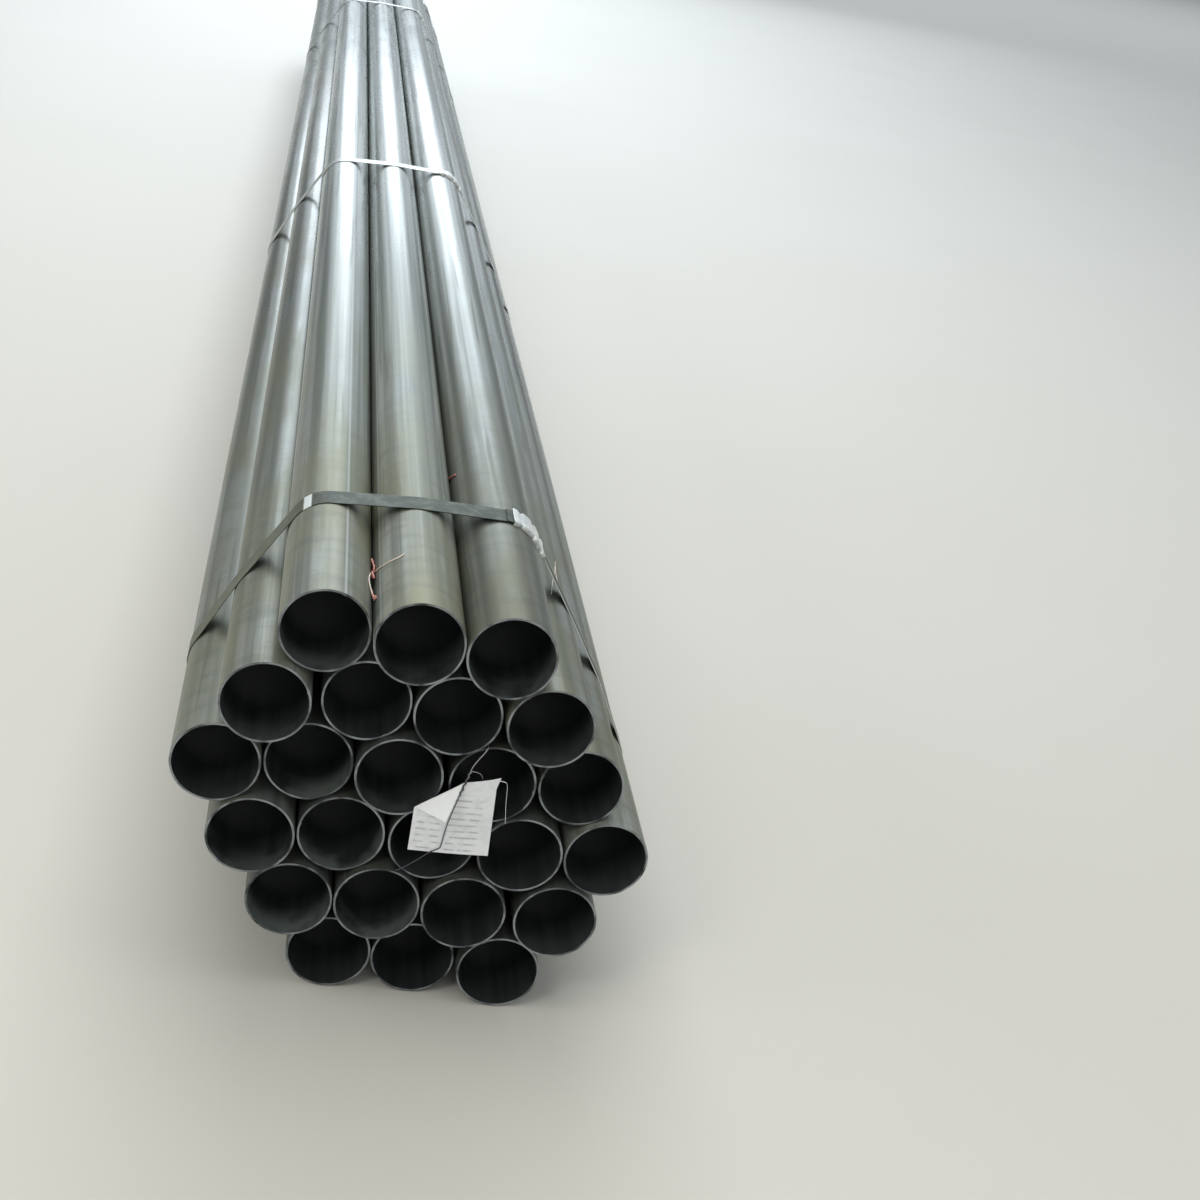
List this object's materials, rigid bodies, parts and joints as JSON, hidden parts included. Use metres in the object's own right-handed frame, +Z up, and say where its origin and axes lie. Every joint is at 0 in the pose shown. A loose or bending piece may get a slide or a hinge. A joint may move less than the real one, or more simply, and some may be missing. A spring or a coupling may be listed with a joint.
{
  "type": "bundle of steel pipes",
  "caption": "Strapped hexagonal bundle of round black steel pipes lying on its side, with flat steel straps, crimped seals and a paper label at one end.",
  "frame": {"origin": "on the floor, under the middle of the bundle's box", "axes": "+Z up; Y along the pipes, with the labelled end that the picture shows at -Y; +X to the right as seen from that end"},
  "size_m": [0.4943, 6.0494, 0.4808],
  "materials": {
    "pipe_steel": "oily black mill finish, satin",
    "strap_steel": "dark oxidised steel strapping, satin",
    "seal_steel": "bright zinc-coated steel",
    "label_paper": "matt paper",
    "tie_wire": "dull annealed wire"
  },
  "bodies": {
    "root": {"pipe_1a": "pipe_steel", "pipe_1b": "pipe_steel", "pipe_1c": "pipe_steel", "pipe_2a": "pipe_steel", "pipe_2b": "pipe_steel", "pipe_2c": "pipe_steel", "pipe_2d": "pipe_steel", "pipe_3a": "pipe_steel", "pipe_3b": "pipe_steel", "pipe_3c": "pipe_steel", "pipe_3d": "pipe_steel", "pipe_3e": "pipe_steel", "pipe_4a": "pipe_steel", "pipe_4b": "pipe_steel", "pipe_4c": "pipe_steel", "pipe_4d": "pipe_steel", "pipe_4e": "pipe_steel", "pipe_5a": "pipe_steel", "pipe_5b": "pipe_steel", "pipe_5c": "pipe_steel", "pipe_5d": "pipe_steel", "pipe_6a": "pipe_steel", "pipe_6b": "pipe_steel", "pipe_6c": "pipe_steel", "strap_1": "strap_steel", "strap_2": "strap_steel", "strap_3": "strap_steel", "strap_4": "strap_steel", "seal_1": "seal_steel", "seal_2": "seal_steel", "seal_3": "seal_steel", "seal_4": "seal_steel", "label": "label_paper", "tie_wire": "tie_wire"}
  },
  "joints": []
}
